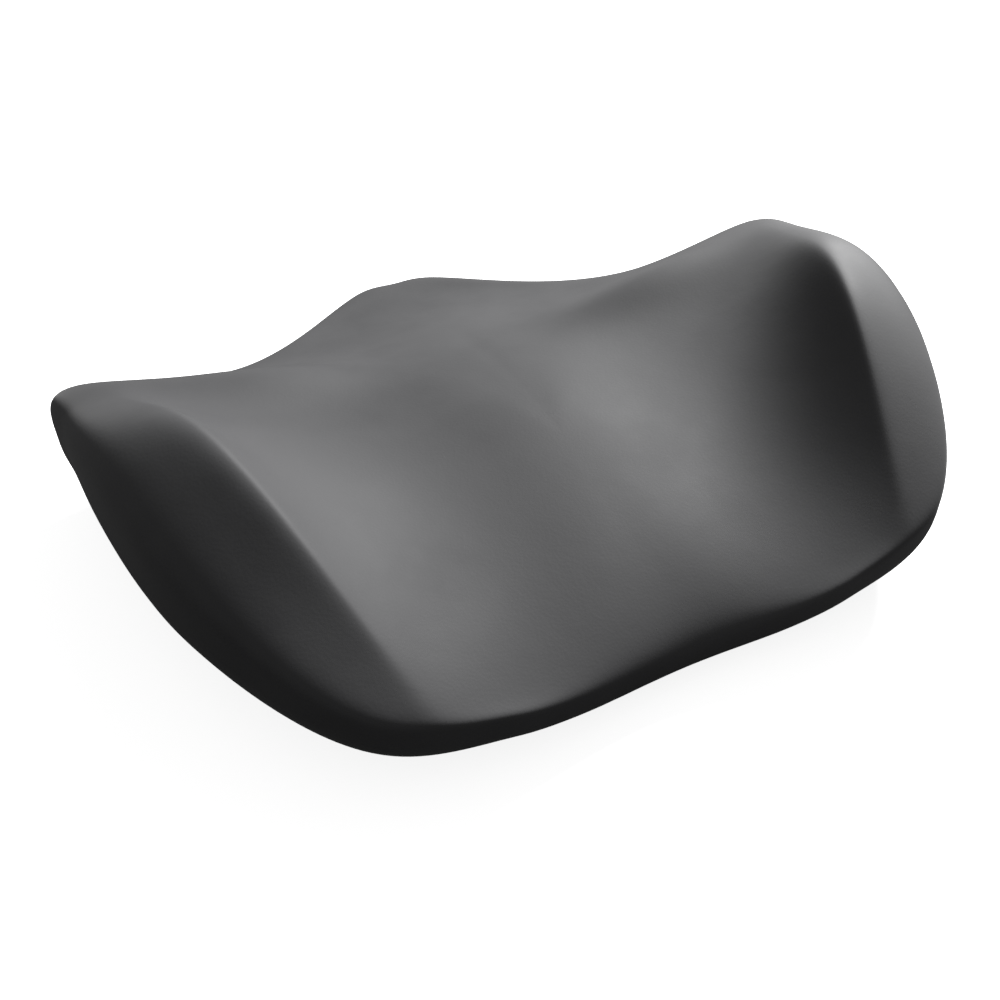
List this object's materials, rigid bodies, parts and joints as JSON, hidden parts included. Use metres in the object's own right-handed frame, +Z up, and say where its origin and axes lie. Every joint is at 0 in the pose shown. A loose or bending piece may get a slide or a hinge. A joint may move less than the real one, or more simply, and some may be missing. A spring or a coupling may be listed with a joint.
{
  "type": "contoured foam pull buoy",
  "caption": "Contoured foam pull buoy: raised side wings cradle the thigh, a back hump and thin waisted front shape the saddle, and foam plies inside give the lift.",
  "frame": {"origin": "under the middle of the bounding box, on the plane the two underside pads rest on", "axes": "+X across the wings to the object's right, +Y towards the humped back edge, +Z up out of the saddle"},
  "size_m": [0.2856, 0.2392, 0.0707],
  "materials": {
    "skin": "smooth matte closed-cell EVA skin, dark grey",
    "core_foam": "cut closed-cell EVA foam, mid grey"
  },
  "bodies": {
    "root": {"moulded_skin": "skin", "sole_panel": "skin", "core_ply_base": "core_foam", "core_ply_middle": "core_foam", "core_ply_saddle": "core_foam", "wing_ply_left": "core_foam", "wing_ply_right": "core_foam", "crest_ply_left": "core_foam", "crest_ply_right": "core_foam"}
  },
  "joints": []
}
